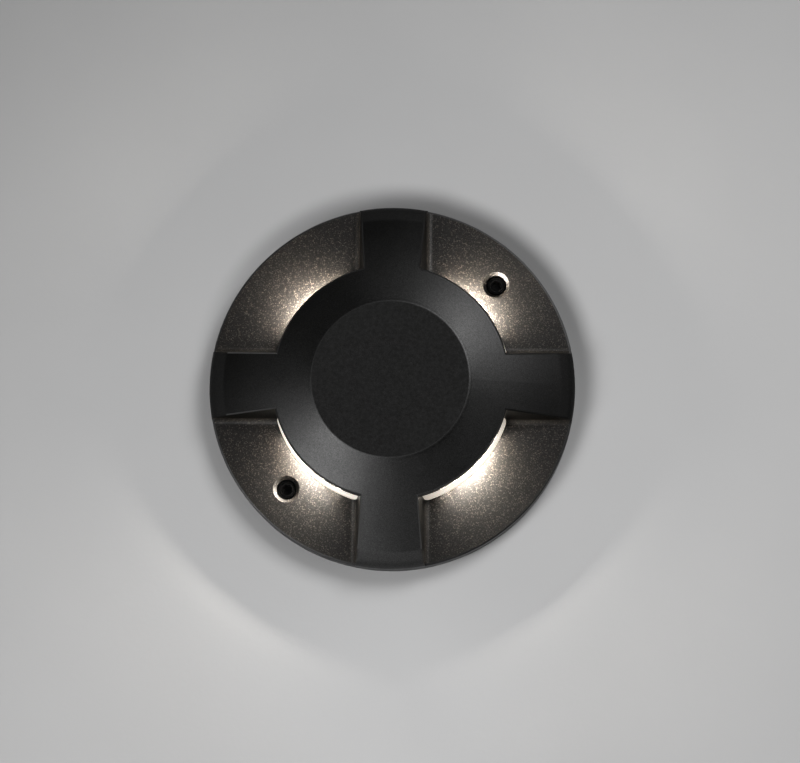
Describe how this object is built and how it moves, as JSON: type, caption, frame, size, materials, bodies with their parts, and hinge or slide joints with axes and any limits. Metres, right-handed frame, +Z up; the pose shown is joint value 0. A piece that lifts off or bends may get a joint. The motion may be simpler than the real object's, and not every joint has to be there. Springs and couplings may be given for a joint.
{
  "type": "surface-mounted ground light",
  "caption": "Round surface-mounted ground light: a cast hub on arms over glowing windows, with pocket floors, recessed fixing screws and a flat mounting plate.",
  "frame": {"origin": "centre of the underside, on the ground", "axes": "+Z up out of the ground; the arms point along X and Y, and the fixing screws lie at 45 degrees between +X and +Y and opposite"},
  "size_m": [0.17, 0.17, 0.034],
  "materials": {
    "cover_coat": "fine-textured satin powder coat",
    "plate_steel": "rolled stainless sheet",
    "fixing_steel": "blackened stainless steel",
    "die_cast": "bare die casting",
    "screw_zinc": "zinc-plated",
    "seal_rubber": "moulded silicone rubber",
    "diffuser_satin": "satin translucent polycarbonate",
    "sink_aluminium": "milled extrusion",
    "thermal_grey": "soft filled silicone",
    "led_board_white": "white solder mask",
    "led_phosphor": "phosphor",
    "reflector_white": "moulded white polycarbonate",
    "board_green": "green solder mask",
    "chip_black": "moulded epoxy",
    "ferrite": "sintered ferrite",
    "winding_tape": "polyester tape",
    "capacitor_sleeve": "shrink sleeve",
    "film_red": "moulded box",
    "varistor_blue": "dipped lacquer",
    "terminal_green": "moulded polyamide",
    "terminal_brass": "tinned brass",
    "lead_red": "silicone insulation",
    "lead_black": "silicone insulation",
    "gland_brass": "nickel-plated brass"
  },
  "bodies": {
    "root": {"top_cover": "cover_coat", "mounting_plate": "plate_steel", "fixing_screws": "fixing_steel", "back_plate": "die_cast", "closing_screws": "screw_zinc", "heat_sink_screws": "screw_zinc", "led_board_screws": "screw_zinc", "driver_screws": "screw_zinc", "earth_screw": "screw_zinc", "lower_seal": "seal_rubber", "upper_seal": "seal_rubber", "gland_gasket": "seal_rubber", "gland_seal": "seal_rubber", "diffuser": "diffuser_satin", "heat_sink": "sink_aluminium", "thermal_pad": "thermal_grey", "led_board_1": "led_board_white", "led_board_2": "led_board_white", "led_board_3": "led_board_white", "led_board_4": "led_board_white", "led_packages": "led_phosphor", "reflector_1": "reflector_white", "reflector_2": "reflector_white", "reflector_3": "reflector_white", "reflector_4": "reflector_white", "driver_board": "board_green", "driver_chips": "chip_black", "fuse": "chip_black", "choke": "chip_black", "transformer_core": "ferrite", "transformer_winding": "winding_tape", "storage_capacitor": "capacitor_sleeve", "film_capacitor": "film_red", "varistor": "varistor_blue", "terminal_block": "terminal_green", "terminal_screws": "terminal_brass", "earth_washer": "terminal_brass", "positive_leads": "lead_red", "negative_leads": "lead_black", "gland_body": "gland_brass", "gland_locknut": "gland_brass", "gland_nut": "gland_brass"}
  },
  "joints": []
}
